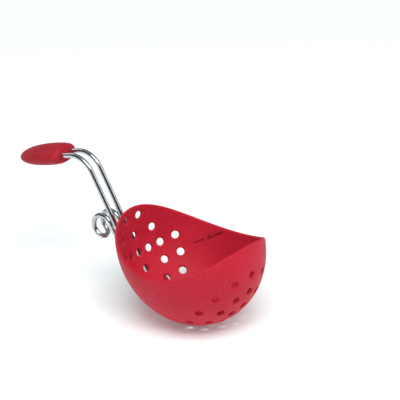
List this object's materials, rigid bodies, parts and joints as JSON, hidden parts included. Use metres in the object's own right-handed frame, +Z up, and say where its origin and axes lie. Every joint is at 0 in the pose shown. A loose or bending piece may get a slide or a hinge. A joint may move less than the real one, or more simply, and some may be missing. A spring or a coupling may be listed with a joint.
{
  "type": "egg poacher",
  "caption": "Perforated silicone egg cup on a bent double-wire handle, with a pan-rim clip and a soft grip, for poaching an egg in a pan of hot water.",
  "frame": {"origin": "centre of the bounding box at its bottom, where the pod's lowest point stands", "axes": "+Z up, out of the level mouth of the pod; +X towards the front of the pod, with the handle at -X; the XZ plane is the plane of symmetry"},
  "size_m": [0.1702, 0.0794, 0.0804],
  "materials": {
    "pod_silicone": "matt moulded silicone",
    "grip_silicone": "matt moulded silicone",
    "handle_steel": "polished stainless wire",
    "clip_steel": "polished stainless wire"
  },
  "bodies": {
    "root": {"pod": "pod_silicone", "handle_wire": "handle_steel", "pan_clip": "clip_steel", "grip": "grip_silicone"}
  },
  "joints": []
}
